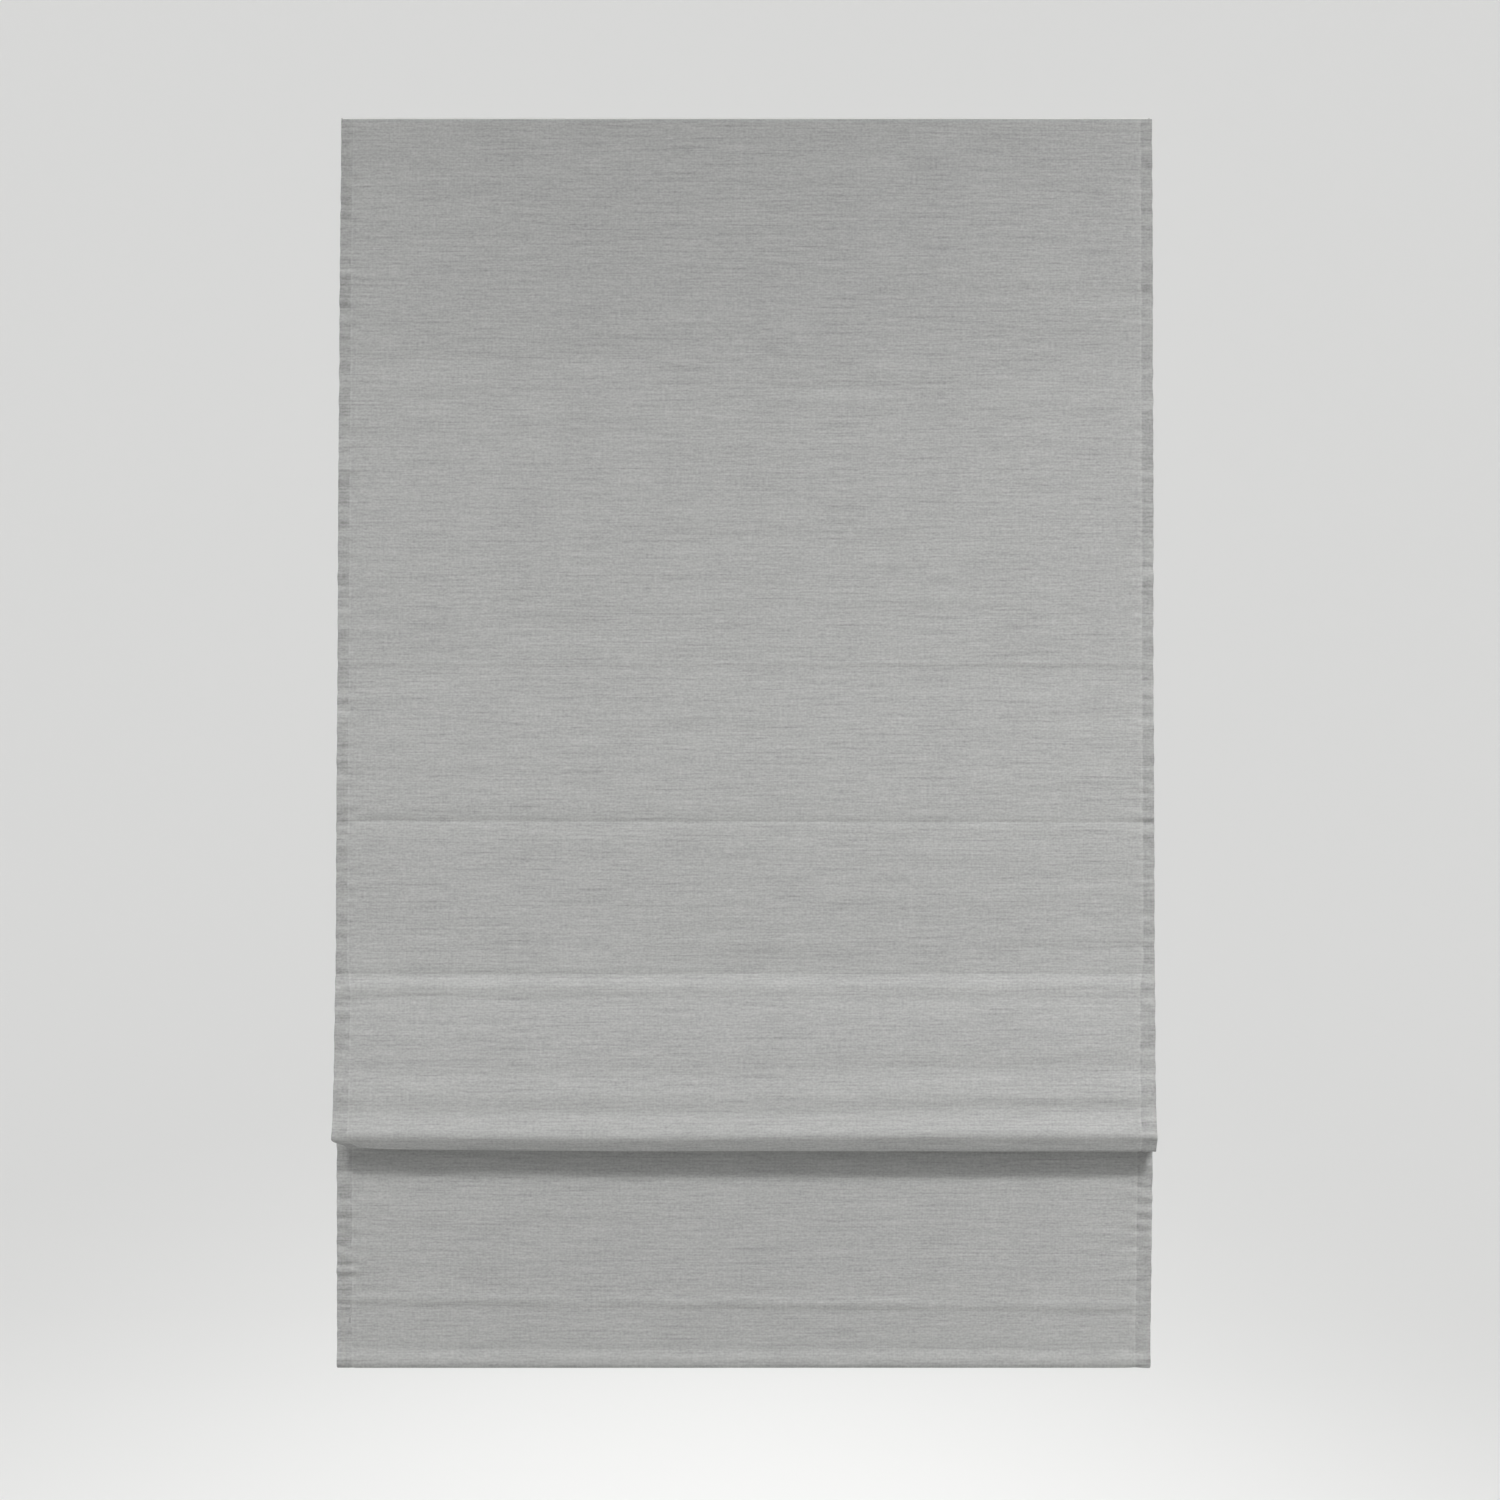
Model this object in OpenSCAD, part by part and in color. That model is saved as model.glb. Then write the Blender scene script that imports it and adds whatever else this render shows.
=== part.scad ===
// Cordless roman blind, raised by one fold.
// The fabric hangs from a sprung headrail and is carried on four ribs.
// Front is -Y, up is +Z. The origin lies on the mounting face, midway between the brackets.

/* [Fabric] */
// Finished width of the fabric
fabric_w = 889; // [760:1:1200]
// Thickness of the fabric
fabric_t = 1.0; // [0.6:0.1:1.4]
// Gap between the mounting face and the top edge of the fabric
fabric_gap = 3; // [2:0.5:8]
// Cloth from the top edge to the first rib
top_drop = 262; // [150:1:320]
// Cloth between one rib and the next
rib_pitch = 335; // [328:1:400]
// Cloth from the lowest rib to the bottom edge
panel_drop = 359; // [260:1:420]
// Width of the side hems
side_hem = 15; // [10:1:25]
// Thickness of the layer that is turned in at the hems
hem_t = 0.7; // [0.4:0.1:1.0]
// Height of the bottom hem
bottom_hem = 73; // [60:1:110]

/* [Fold] */
// Height between the two lowest ribs as the blind hangs
rib_gap = 71; // [64:1:100]
// Distance from the plane of the fabric to the front of the fold
fold_reach = 35; // [32:1:38]
// Slant of the front of the fold
fold_slant = 14; // [13:0.5:18]
// Radius where the fabric bends out below its rib
fold_bend_r = 25; // [10:1:60]
// Radius where the front of the fold bends back to hang straight
front_bend_r = 60; // [30:1:75]
// Radius of the lower front edge of the fold
nose_r = 5; // [3:0.5:8]
// Slope of the underside behind that edge, below the horizontal
nose_slope = 42; // [35:1:50]
// Length of that sloping underside
nose_l = 15; // [10:0.5:17]
// Radius of the turn at the bottom of the fold
lower_turn_r = 7; // [5:0.5:9]
// Rise of the underside behind the bottom of the fold
fold_rise = 40; // [30:1:50]
// Radius where the underside of the fold turns up behind
back_turn_r = 14; // [8:0.5:16]
// Radius of the turn over the lowest rib
upper_turn_r = 1.2; // [1:0.1:2]
// Flat cloth below the rib that the fold hangs from
fold_lead = 1; // [0.5:0.5:4]
// Flat cloth above the lowest rib
rib_lead = 6.5; // [6.2:0.1:9]

/* [Ribs] */
// Radius of a rib rod
rod_r = 2; // [1.5:0.1:2.5]
// Play of a rod in its pocket
rod_fit = 0.3; // [0.1:0.05:0.5]
// Length of pocket past each end of its rod
rod_end_gap = 3; // [1:0.5:8]
// Thickness of the pocket tape
pocket_t = 0.7; // [0.4:0.1:1.0]
// Height of the pocket tape
pocket_h = 12; // [10:0.5:12]
// Gap between a pocket and a side hem
pocket_gap = 1; // [0.5:0.5:5]
// Mid radius of a cord ring
ring_r = 5; // [4:0.25:6]
// Radius of a cord ring's section
ring_wire_r = 1; // [0.7:0.05:1.3]
// Gap between a ring and its pocket
ring_gap = 0.2; // [0.1:0.05:0.5]

/* [Headrail] */
// Depth of the headrail, front to back
rail_d = 52; // [50:1:64]
// Height of the headrail
rail_h = 48; // [46:1:60]
// Wall of the headrail
rail_wall = 1.4; // [1:0.1:2]
// Width of each inward lip at the headrail's mouth
rail_lip = 8; // [6:0.5:10]
// Gap between the mounting face and the headrail
rail_gap = 1; // [0.5:0.1:1.3]
// How far the end caps stop short of the fabric's edges
rail_inset = 3; // [0:0.5:12]
// Thickness of an end cap
cap_t = 2; // [1.5:0.1:4]
// Depth of an end cap's plug in the headrail
plug_l = 12; // [8:0.5:20]
// Wall of an end cap's plug
plug_wall = 1.6; // [1:0.1:2.5]
// Play of fitted pieces in the headrail
rail_fit = 0.2; // [0.1:0.05:0.5]

/* [Brackets] */
// Distance of each bracket's middle from the fabric's edge
bracket_inset = 99.5; // [70:0.5:140]
// Width of a bracket
bracket_w = 30; // [20:1:50]
// Thickness of the bracket strip
bracket_t = 1.4; // [1:0.1:1.8]
// Gap between a bracket's leg and the lip beside it
clip_gap = 0.4; // [0.2:0.05:0.8]
// Gap between a bracket's foot and the lip that rests on it
seat_gap = 0.2; // [0.1:0.05:0.4]
// Reach of a bracket's foot past its leg
foot_l = 4; // [2:0.25:5]
// Radius of a screw hole
screw_r = 2.3; // [1.5:0.1:3]
// Distance between a bracket's two screw holes
screw_span = 16; // [12:0.5:20]

/* [Tape] */
// Height of the hook tape and the loop tape
tape_h = 20; // [12:1:30]
// Thickness of each tape
tape_t = 1.2; // [0.8:0.1:1.6]
// Distance of the tapes below the fabric's top edge
tape_drop = 5; // [2:0.5:12]

/* [Lift] */
// Distance of the outer cord lines from the fabric's edges
lift_inset = 174.5; // [165:0.5:200]
// Thickness of lift cord that the spools are sized for
cord_d = 1.4; // [1:0.1:2]
// Width of the cord slots
slot_w = 6; // [5:0.5:8]
// Depth of the shaft's axis below the mounting face
shaft_drop = 25; // [23:0.5:27]
// Corner radius of the six-sided shaft
shaft_r = 3.4; // [3.2:0.1:4]
// Radius of the round ends of the shaft
shaft_end_r = 2.5; // [2:0.1:2.7]
// Play of spools and drums on the shaft
hub_fit = 0.15; // [0.05:0.05:0.3]
// Radial play of a bearing
run_fit = 0.05; // [0.02:0.01:0.1]
// Radius of a spool's barrel
spool_r = 10; // [8:0.25:11]
// Length of a spool's barrel
spool_l = 24; // [16:1:40]
// Height of a flange above its barrel
flange_h = 3; // [2:0.25:3.5]
// Thickness of a flange
flange_t = 1.5; // [1:0.1:2]
// Radius of a spool's journals
journal_r = 6; // [5:0.25:7]
// Radius of the hole in a spool that the cord is tied into
anchor_r = 1; // [0.7:0.1:1.4]
// Distance of that hole from the flange
anchor_gap = 3; // [2:0.5:6]
// Radius of the hole that leads a cord out of its cradle
guide_r = 1.5; // [1:0.1:2]
// How far that guide stands out below the headrail
guide_l = 1.5; // [0.5:0.1:3]
// Gap beside a flange
side_gap = 0.6; // [0.3:0.1:1]
// Wall of a cradle
cradle_wall = 3; // [2:0.25:5]
// Thickness of a cradle's base
cradle_t = 2; // [1.5:0.25:3]

/* [Spring motor] */
// Distance of the spring motor from the middle
motor_x = 130; // [80:1:180]
// Width of the spring band
band_w = 16; // [10:1:30]
// Thickness of the free length of the band
band_t = 0.6; // [0.4:0.05:0.8]
// Radius of the output drum's barrel
drum_r = 7; // [6.5:0.25:7.5]
// Thickness of the band's turns on the output drum
drum_turns = 1.2; // [0.8:0.1:2]
// Radius of the storage drum's barrel
store_r = 3.5; // [3:0.25:4]
// Thickness of the band's turns on the storage drum
store_turns = 2.8; // [2:0.1:3]
// Play of the band's turns on a barrel
band_gap = 0.3; // [0.2:0.05:0.4]
// Height of the drum flanges above the band
band_lip = 1; // [0.6:0.1:1.4]
// Wall of the motor housing
motor_wall = 1.5; // [1:0.1:2]

/* [Bottom bar] */
// Height of the bottom bar
bar_h = 24; // [16:1:35]
// Thickness of the bottom bar
bar_t = 3; // [2:0.25:4]
// Wall of the caps on the bar's ends
bar_cap_t = 0.8; // [0.5:0.1:1.2]
// Length of the caps on the bar's ends
bar_cap_l = 12; // [8:1:25]
// Gap between a cap and the fabric's edge
bar_inset = 6; // [2:0.5:15]
// Play of the bar in its caps and of the caps in the hem
bar_fit = 0.2; // [0.1:0.05:0.4]

/* [Hidden] */
$fn = 48;

// Colours
fabric_colour = [0.68, 0.67, 0.65];
white_colour = [0.93, 0.93, 0.91];
plastic_colour = [0.86, 0.86, 0.84];
steel_colour = [0.62, 0.63, 0.65];
spring_colour = [0.45, 0.46, 0.50];
tape_colour = [0.90, 0.90, 0.88];

// A cut reaches this far past the faces that it opens
cut = 1;

// Headrail
rail_top = -rail_gap;
rail_bottom = rail_top - rail_h;
rail_floor = rail_bottom + rail_wall;
rail_l = fabric_w - 2 * rail_inset - 2 * cap_t;
rail_in_d = rail_d - 2 * rail_wall;
rail_in_h = rail_h - 2 * rail_wall;
rail_mouth = rail_d - 2 * rail_lip;
rail_mid = rail_bottom + rail_h / 2;
bracket_x = fabric_w / 2 - bracket_inset;

// Planes of the tapes and the fabric, counted forward from the headrail
tape_y = -rail_d / 2;
fabric_back = tape_y - 2 * tape_t;
fabric_y = fabric_back - fabric_t / 2;
fabric_top = -fabric_gap;
tape_l = fabric_w - 2 * side_hem - 2 * pocket_gap;

// Heights of the ribs
rib_z = [
    fabric_top - top_drop,
    fabric_top - top_drop - rib_pitch,
    fabric_top - top_drop - 2 * rib_pitch,
    fabric_top - top_drop - 2 * rib_pitch - rib_gap
];
fabric_bottom = rib_z[3] - panel_drop;

// Rods, pockets and rings
tube_in_r = rod_r + rod_fit;
tube_r = tube_in_r + pocket_t;
rod_y = fabric_back + pocket_t + tube_in_r;
pocket_l = fabric_w - 2 * side_hem - 2 * pocket_gap;
rod_l = pocket_l - 2 * rod_end_gap;
cord_y = rod_y + tube_r + ring_gap + ring_wire_r + ring_r;
lift_x = fabric_w / 2 - lift_inset;
lift_lines = [-lift_x, 0, lift_x];

// Lift shaft, spools and cradles
shaft_y = cord_y + cord_d / 2 + spool_r;
shaft_z = -shaft_drop;
spool_flange_r = spool_r + flange_h;
cradle_gap = spool_l + 2 * flange_t + 2 * side_gap;
cradle_l = cradle_gap + 2 * cradle_wall;
journal_l = cradle_wall + side_gap + flange_t;
cradle_post = journal_r + cradle_wall;
boss_r = shaft_end_r + run_fit + plug_wall;
shaft_end_l = rail_l - 2 * rail_fit;
shaft_hex_l = rail_l - 2 * plug_l - 2 * side_gap;

// Spring motor
drum_turn_r = drum_r + band_gap + drum_turns;
store_turn_r = store_r + band_gap + store_turns;
drum_flange_r = drum_turn_r + band_lip;
store_flange_r = store_turn_r + band_lip;
store_y = shaft_y + drum_flange_r + store_flange_r + side_gap;
drum_gap = band_w + 2 * band_gap;
motor_in_l = drum_gap + 2 * flange_t + 2 * side_gap;
motor_l = motor_in_l + 2 * cradle_wall;
motor_front = shaft_y - drum_flange_r - side_gap - motor_wall;
motor_back = store_y + store_flange_r + side_gap + motor_wall;
motor_top = shaft_z + drum_flange_r + side_gap;
drum_journal_l = cradle_wall + side_gap + flange_t;

// Bottom hem and bar
hem_r = (bar_t + 2 * bar_cap_t + 4 * bar_fit + fabric_t) / 2;
hem_z = fabric_bottom + hem_r + fabric_t / 2;
bar_l = fabric_w - 2 * bar_inset - 2 * bar_cap_t - 2 * bar_fit;
bar_z = hem_z + bar_cap_t + bar_fit;
hem_rise = bar_z + bar_h + bar_cap_t + bar_fit;
hem_top = fabric_bottom + bottom_hem;

// The fold: out from the third rib along a slant, down the front, round the lower front edge,
// back along the underside, up behind, and over the upper turn to the lowest rib.
// The straight front takes up what is left of one rib pitch.
nose_turn = 90 - nose_slope;
slant_l = (fold_reach - (fold_bend_r + front_bend_r) * (1 - cos(fold_slant))) / sin(fold_slant);
slant_drop = (fold_bend_r + front_bend_r) * sin(fold_slant) + slant_l * cos(fold_slant);
nose_y = nose_r * (1 - cos(nose_turn)) + nose_l * cos(nose_slope) + lower_turn_r * sin(nose_slope);
nose_drop = nose_r * sin(nose_turn) + nose_l * sin(nose_slope) - lower_turn_r * cos(nose_slope);
under_l = (fold_reach - 2 * upper_turn_r - nose_y - lower_turn_r * sin(fold_rise)
    - back_turn_r * (1 - sin(fold_rise))) / cos(fold_rise);
under_rise = (back_turn_r - lower_turn_r) * cos(fold_rise) + under_l * sin(fold_rise) - nose_drop;
bends_l = (fold_bend_r + front_bend_r) * fold_slant * PI / 180;
turns_l = (nose_r * nose_turn + lower_turn_r * (nose_slope + fold_rise) + back_turn_r * (90 - fold_rise)
    + upper_turn_r * 180) * PI / 180;
front_l = (rib_pitch + rib_gap - 2 * fold_lead - 2 * rib_lead - bends_l - slant_l - slant_drop
    - turns_l - nose_l - under_l + under_rise) / 2;
bend_z = rib_z[2] - fold_lead;
front_z = bend_z - slant_drop;
nose_z = front_z - front_l;
leg_z = nose_z + under_rise;
upper_z = rib_z[3] + rib_lead;
front_y = fabric_y - fold_reach;
leg_y = fabric_y - 2 * upper_turn_r;
bend_steps = 5;
turn_steps = 12;

// Points along an arc in a plane across the blind, as [y, z]
function arc(y, z, r, from, to, steps) =
    [for (i = [0:steps]) let (a = from + (to - from) * i / steps) [y + r * cos(a), z + r * sin(a)]];

// Direction of a path at one of its points
function along(path, i) =
    let (step = path[min(i + 1, len(path) - 1)] - path[max(i - 1, 0)]) step / norm(step);

// A path moved sideways, towards the face of the fabric where d is positive
function beside(path, d) =
    [for (i = [0:len(path) - 1]) let (t = along(path, i)) path[i] + d * [t[1], -t[0]]];

function reversed(list) = [for (i = [len(list) - 1:-1:0]) list[i]];

// Centre line of the fabric through the fold
function fold_path() = concat(
    [[fabric_y, rib_z[2]]],
    arc(fabric_y - fold_bend_r, bend_z, fold_bend_r, 0, -fold_slant, bend_steps),
    arc(front_y + front_bend_r, front_z, front_bend_r, 180 - fold_slant, 180, bend_steps),
    arc(front_y + nose_r, nose_z, nose_r, 180, 180 + nose_turn, bend_steps),
    arc(front_y + nose_y, nose_z - nose_drop, lower_turn_r, 180 + nose_turn, 270 + fold_rise, bend_steps),
    arc(leg_y - back_turn_r, leg_z, back_turn_r, fold_rise - 90, 0, bend_steps),
    arc(fabric_y - upper_turn_r, upper_z, upper_turn_r, 180, 0, bend_steps),
    [[fabric_y, rib_z[3]]]
);

// Centre line of the fabric through the bottom panel and its hem
function panel_path() = concat(
    [[fabric_y, rib_z[3]]],
    arc(fabric_y + hem_r, hem_z, hem_r, 180, 360, turn_steps),
    [[fabric_y + 2 * hem_r, hem_rise]],
    [[fabric_y + fabric_t + bar_fit, hem_rise + 4 * hem_r]],
    [[fabric_y + fabric_t + bar_fit, hem_top]]
);

// A shape in [y, z] drawn out along the width of the blind
module across(l) {
    rotate([90, 0, 90])
        linear_extrude(height = l, center = true)
            children();
}

module rod_along_x(r, l) {
    rotate([0, 90, 0])
        cylinder(r = r, h = l, center = true);
}

module hex_along_x(r, l) {
    rotate([0, 90, 0])
        cylinder(r = r, h = l, center = true, $fn = 6);
}

module box_between(x, y, z) {
    translate([x[0], y[0], z[0]])
        cube([x[1] - x[0], y[1] - y[0], z[1] - z[0]]);
}

// Fabric of one path between two distances from its centre line
module layer(path, low, high) {
    polygon(concat(beside(path, low), reversed(beside(path, high))));
}

// A full-width length of fabric, with a side hem turned to the back along hem_path
module hemmed_fabric(path, hem_path) {
    color(fabric_colour) {
        across(fabric_w)
            layer(path, -fabric_t / 2, fabric_t / 2);
        for (side = [-1, 1])
            translate([side * (fabric_w - side_hem) / 2, 0, 0])
                across(side_hem)
                    layer(hem_path, -fabric_t / 2 - hem_t, -fabric_t / 2);
    }
}

module flat_fabric(top, bottom) {
    path = [[fabric_y, top], [fabric_y, bottom]];
    hemmed_fabric(path, path);
}

module fabric_top_section() flat_fabric(fabric_top, rib_z[0]);
module fabric_second_section() flat_fabric(rib_z[0], rib_z[1]);
module fabric_third_section() flat_fabric(rib_z[1], rib_z[2]);
module fabric_fold() hemmed_fabric(fold_path(), fold_path());
module fabric_bottom_panel() hemmed_fabric(panel_path(), [[fabric_y, rib_z[3]], [fabric_y, hem_top + cut]]);

module rib_rod(i) {
    color(white_colour)
        translate([0, rod_y, rib_z[i]])
            rod_along_x(rod_r, rod_l);
}

module rib_pocket(i) {
    color(tape_colour)
        across(pocket_l)
            difference() {
                union() {
                    translate([fabric_back, rib_z[i] - pocket_h / 2])
                        square([pocket_t, pocket_h]);
                    translate([rod_y, rib_z[i]])
                        circle(r = tube_r);
                }
                translate([rod_y, rib_z[i]])
                    circle(r = tube_in_r);
            }
}

module rib_rings(i) {
    color(white_colour)
        for (x = lift_lines)
            translate([x, cord_y, rib_z[i]])
                rotate_extrude()
                    translate([ring_r, 0])
                        circle(r = ring_wire_r, $fn = 24);
}

module rail_section() {
    difference() {
        translate([-rail_d / 2, rail_bottom])
            square([rail_d, rail_h]);
        translate([-rail_in_d / 2, rail_floor])
            square([rail_in_d, rail_in_h]);
        translate([-rail_mouth / 2, rail_mid])
            square([rail_mouth, rail_h]);
    }
}

module headrail() {
    color(white_colour)
        difference() {
            across(rail_l)
                rail_section();
            for (x = lift_lines)
                translate([x, cord_y, rail_bottom])
                    cube([slot_w, slot_w, 2 * rail_wall + cut], center = true);
        }
}

// An end cap: a plate, a plug that fits inside the headrail, and a blind bearing for the shaft
module end_cap(side) {
    plug_d = rail_in_d - 2 * rail_fit;
    plug_h = rail_in_h - 2 * rail_fit;
    color(plastic_colour)
        translate([side * rail_l / 2, 0, 0])
            difference() {
                union() {
                    translate([side * cap_t / 2, 0, rail_mid])
                        cube([cap_t, rail_d, rail_h], center = true);
                    translate([-side * plug_l / 2, 0, rail_mid])
                        difference() {
                            cube([plug_l, plug_d, plug_h], center = true);
                            cube([plug_l + cut, plug_d - 2 * plug_wall, plug_h - 2 * plug_wall], center = true);
                        }
                    translate([-side * plug_l / 2, shaft_y, shaft_z])
                        rod_along_x(boss_r, plug_l);
                }
                translate([-side * plug_l / 2, shaft_y, shaft_z])
                    rod_along_x(shaft_end_r + run_fit, plug_l + cut);
            }
}

module end_cap_left() end_cap(-1);
module end_cap_right() end_cap(1);

// A spring-steel clip whose feet carry the headrail by its lips
module bracket(x) {
    leg_y = rail_mouth / 2 - clip_gap;
    foot_top = rail_top - rail_wall - seat_gap;
    color(steel_colour)
        translate([x, 0, 0])
            difference() {
                across(bracket_w) {
                    translate([-leg_y, -bracket_t])
                        square([2 * leg_y, bracket_t]);
                    for (side = [0, 1])
                        mirror([side, 0]) {
                            translate([leg_y - bracket_t, foot_top - bracket_t])
                                square([bracket_t, bracket_t - foot_top]);
                            translate([leg_y - bracket_t, foot_top - bracket_t])
                                square([bracket_t + foot_l, bracket_t]);
                        }
                }
                for (side = [-1, 1])
                    translate([0, side * screw_span / 2, -bracket_t - cut])
                        cylinder(r = screw_r, h = bracket_t + 2 * cut);
            }
}

module bracket_left() bracket(-bracket_x);
module bracket_right() bracket(bracket_x);

// A flat length of tape whose rear face lies on the plane y
module tape(y) {
    color(tape_colour)
        box_between(
            [-tape_l / 2, tape_l / 2],
            [y - tape_t, y],
            [fabric_top - tape_drop - tape_h, fabric_top - tape_drop]
        );
}

module hook_tape() tape(tape_y);
module loop_tape() tape(tape_y - tape_t);

module lift_shaft() {
    color(steel_colour)
        translate([0, shaft_y, shaft_z]) {
            hex_along_x(shaft_r, shaft_hex_l);
            rod_along_x(shaft_end_r, shaft_end_l);
        }
}

// A flanged barrel with round journals at its ends
module flanged_barrel(r, l, rim_r, neck_r, neck_l) {
    rod_along_x(r, l + 2 * flange_t);
    rod_along_x(neck_r, l + 2 * flange_t + 2 * neck_l);
    for (side = [-1, 1])
        translate([side * (l + flange_t) / 2, 0, 0])
            rod_along_x(rim_r, flange_t);
}

module cord_spool(x) {
    color(plastic_colour)
        translate([x, shaft_y, shaft_z])
            difference() {
                flanged_barrel(spool_r, spool_l, spool_flange_r, journal_r, journal_l);
                hex_along_x(shaft_r + hub_fit, cradle_l + 4 * journal_l);
                translate([anchor_gap - spool_l / 2, 0, 0])
                    cylinder(r = anchor_r, h = spool_r + cut);
            }
}

module cord_spool_left() cord_spool(lift_lines[0]);
module cord_spool_centre() cord_spool(lift_lines[1]);
module cord_spool_right() cord_spool(lift_lines[2]);

// A bearing wall that stands on the headrail's floor
module bearing_wall() {
    difference() {
        union() {
            translate([shaft_y, shaft_z])
                circle(r = cradle_post);
            translate([shaft_y - cradle_post, rail_floor])
                square([2 * cradle_post, shaft_z - rail_floor]);
        }
        translate([shaft_y, shaft_z])
            circle(r = journal_r + run_fit);
    }
}

// A base and two bearing walls, with a spout that leads the cord out through the headrail's slot
module spool_cradle(x) {
    color(plastic_colour)
        translate([x, 0, 0])
            difference() {
                union() {
                    box_between(
                        [-cradle_l / 2, cradle_l / 2],
                        [rail_fit - rail_in_d / 2, rail_in_d / 2 - rail_fit],
                        [rail_floor, rail_floor + cradle_t]
                    );
                    for (side = [-1, 1])
                        translate([side * (cradle_gap + cradle_wall) / 2, 0, 0])
                            across(cradle_wall)
                                bearing_wall();
                    translate([0, cord_y, rail_bottom - guide_l])
                        cylinder(r = slot_w / 2 - rail_fit, h = guide_l + rail_wall + cradle_t);
                }
                translate([0, cord_y, rail_bottom - guide_l - cut])
                    cylinder(r = guide_r, h = guide_l + rail_wall + cradle_t + 2 * cut);
            }
}

module spool_cradle_left() spool_cradle(lift_lines[0]);
module spool_cradle_centre() spool_cradle(lift_lines[1]);
module spool_cradle_right() spool_cradle(lift_lines[2]);

// An open-topped tray whose end walls carry both drums
module motor_housing() {
    color(plastic_colour)
        translate([motor_x, 0, 0])
            difference() {
                box_between([-motor_l / 2, motor_l / 2], [motor_front, motor_back], [rail_floor, motor_top]);
                box_between(
                    [-motor_in_l / 2, motor_in_l / 2],
                    [motor_front + motor_wall, motor_back - motor_wall],
                    [rail_floor + motor_wall, motor_top + cut]
                );
                translate([0, shaft_y, shaft_z])
                    rod_along_x(journal_r + run_fit, motor_l + cut);
                translate([0, store_y, shaft_z])
                    rod_along_x(shaft_end_r + run_fit, motor_l + cut);
            }
}

// A lid with a rim that drops inside the tray
module motor_cover() {
    rim = [motor_front + motor_wall + rail_fit, motor_back - motor_wall - rail_fit];
    color(plastic_colour)
        translate([motor_x, 0, 0]) {
            box_between(
                [-motor_l / 2, motor_l / 2],
                [motor_front, motor_back],
                [motor_top, motor_top + motor_wall]
            );
            for (y = [rim[0], rim[1] - motor_wall])
                box_between(
                    [rail_fit - motor_in_l / 2, motor_in_l / 2 - rail_fit],
                    [y, y + motor_wall],
                    [motor_top - motor_wall, motor_top]
                );
        }
}

module output_drum() {
    color(plastic_colour)
        translate([motor_x, shaft_y, shaft_z])
            difference() {
                flanged_barrel(drum_r, drum_gap, drum_flange_r, journal_r, drum_journal_l);
                hex_along_x(shaft_r + hub_fit, motor_l + 4 * drum_journal_l);
            }
}

module storage_drum() {
    color(plastic_colour)
        translate([motor_x, store_y, shaft_z])
            flanged_barrel(store_r, drum_gap, store_flange_r, shaft_end_r, drum_journal_l);
}

// The turns of the spring band on one drum
module turns(inner_r, outer_r) {
    difference() {
        rod_along_x(outer_r, band_w);
        rod_along_x(inner_r, band_w + cut);
    }
}

// The band's turns on both drums and the length that crosses between them
module spring_band() {
    span = store_y - shaft_y;
    lean = acos((drum_turn_r + store_turn_r - 2 * band_t) / span);
    out = [cos(lean), sin(lean)];
    half = out * band_t / 2;
    near = out * (drum_turn_r - band_t);
    far = [span, 0] - out * (store_turn_r - band_t);
    color(spring_colour)
        translate([motor_x, shaft_y, shaft_z]) {
            turns(drum_r + band_gap, drum_turn_r);
            translate([0, span, 0])
                turns(store_r + band_gap, store_turn_r);
            across(band_w)
                polygon([near - half, near + half, far + half, far - half]);
        }
}

module bottom_bar() {
    color(steel_colour)
        box_between(
            [-bar_l / 2, bar_l / 2],
            [fabric_y + hem_r - bar_t / 2, fabric_y + hem_r + bar_t / 2],
            [bar_z, bar_z + bar_h]
        );
}

// A sleeve closed at the outer end
module bar_cap(side) {
    inner = [bar_cap_l, bar_t + 2 * bar_fit, bar_h + 2 * bar_fit];
    wall = [bar_cap_t, bar_cap_t, bar_cap_t];
    end = bar_l / 2 + bar_fit - bar_cap_l / 2;
    color(plastic_colour)
        translate([side * end, fabric_y + hem_r, bar_z + bar_h / 2])
            difference() {
                translate([side * bar_cap_t / 2, 0, 0])
                    cube([inner[0] + wall[0], inner[1] + 2 * wall[1], inner[2] + 2 * wall[2]], center = true);
                translate([-side * cut / 2, 0, 0])
                    cube([inner[0] + cut, inner[1], inner[2]], center = true);
            }
}

module bar_cap_left() bar_cap(-1);
module bar_cap_right() bar_cap(1);

headrail();
end_cap_left();
end_cap_right();
bracket_left();
bracket_right();
hook_tape();
loop_tape();
lift_shaft();
cord_spool_left();
cord_spool_centre();
cord_spool_right();
spool_cradle_left();
spool_cradle_centre();
spool_cradle_right();
motor_housing();
motor_cover();
output_drum();
storage_drum();
spring_band();
fabric_top_section();
fabric_second_section();
fabric_third_section();
fabric_fold();
fabric_bottom_panel();
rib_rod(0);  // rib_rod_1
rib_rod(1);  // rib_rod_2
rib_rod(2);  // rib_rod_3
rib_rod(3);  // rib_rod_4
rib_pocket(0);  // rib_pocket_1
rib_pocket(1);  // rib_pocket_2
rib_pocket(2);  // rib_pocket_3
rib_pocket(3);  // rib_pocket_4
rib_rings(0);  // rib_rings_1
rib_rings(1);  // rib_rings_2
rib_rings(2);  // rib_rings_3
rib_rings(3);  // rib_rings_4
bottom_bar();
bar_cap_left();
bar_cap_right();
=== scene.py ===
from math import pi, radians

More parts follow.
